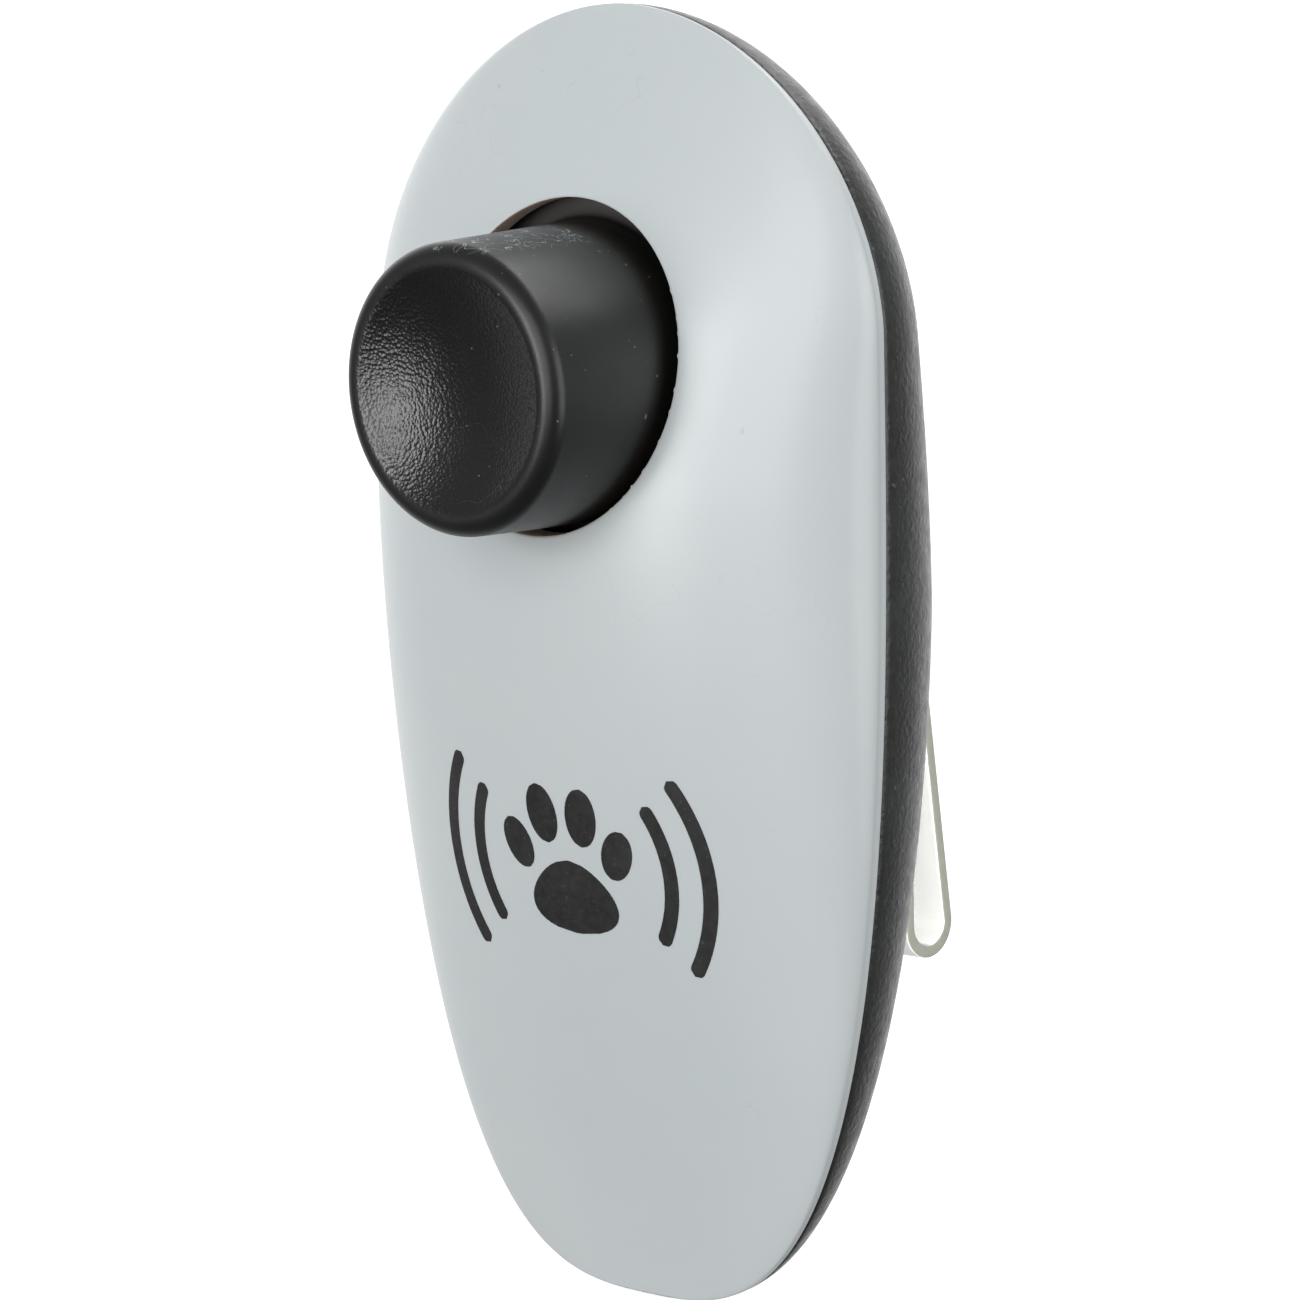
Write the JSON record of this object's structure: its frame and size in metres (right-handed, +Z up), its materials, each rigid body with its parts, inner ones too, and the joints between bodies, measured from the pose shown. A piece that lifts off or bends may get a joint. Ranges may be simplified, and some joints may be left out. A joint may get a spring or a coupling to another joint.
{
  "type": "clicker trainer",
  "caption": "Handheld clicker trainer: domed oval two-part case, tall dished thumb button over a snapping steel reed, bent spring-steel belt clip behind.",
  "frame": {"origin": "middle of the whole object's box, from the button's face to the clip's bend; the joint line between the two mouldings lies 0.4 mm in front of it", "axes": "+Z runs up from the narrow tail to the button end, -Y is the front that faces the user, +Y is the back with the clip, X is across the width"},
  "size_m": [0.0302, 0.0254, 0.06],
  "materials": {
    "shell_grey": "pale cool-grey ABS, fine satin moulding with a soft broad sheen",
    "shell_black": "charcoal ABS with a fine spark-eroded grain",
    "button_black": "near-black ABS, grained dish, smoother barrel with small scuffs",
    "clip_steel": "bright nickel-plated spring steel, plain sheared edges",
    "rivet_steel": "nickel-plated steel, tumbled",
    "reed_steel": "blue-grey tempered spring steel",
    "clamp_steel": "zinc-plated stamped steel",
    "screw_steel": "zinc-plated self-tapping screw, cross recess"
  },
  "bodies": {
    "case": {"front_shell": "shell_grey", "back_shell": "shell_black", "reed_root": "reed_steel", "reed_clamp": "clamp_steel", "reed_screws": "screw_steel", "case_screws": "screw_steel", "clip_base": "clip_steel", "clip_rivets": "rivet_steel", "rivet_washers": "rivet_steel"},
    "thumb_button": {"button": "button_black"},
    "reed": {"reed_blade": "reed_steel"},
    "clip_spring": {"clip_arm": "clip_steel"}
  },
  "joints": [
    {"name": "button_press", "type": "slide", "parent": "case", "child": "thumb_button", "axis": [0, 1, 0], "range_m": [0, 0.0026], "stiffness_N_per_m": 1900, "springref_m": -0.0003},
    {"name": "reed_flex", "type": "hinge", "parent": "case", "child": "reed", "pos_m": [0, 0.0019, -0.005], "axis": [-1, 0, 0], "range_deg": [0, 8.2]},
    {"name": "clip_open", "type": "hinge", "parent": "case", "child": "clip_spring", "pos_m": [0, 0.01105, -0.0134], "axis": [-1, 0, 0], "range_deg": [0, 12], "stiffness_Nm_per_rad": 2.5, "springref_deg": -2.86}
  ],
  "couplings": [
    {"joint": "reed_flex", "follows": "button_press", "rad_per_m": 53.763}
  ]
}
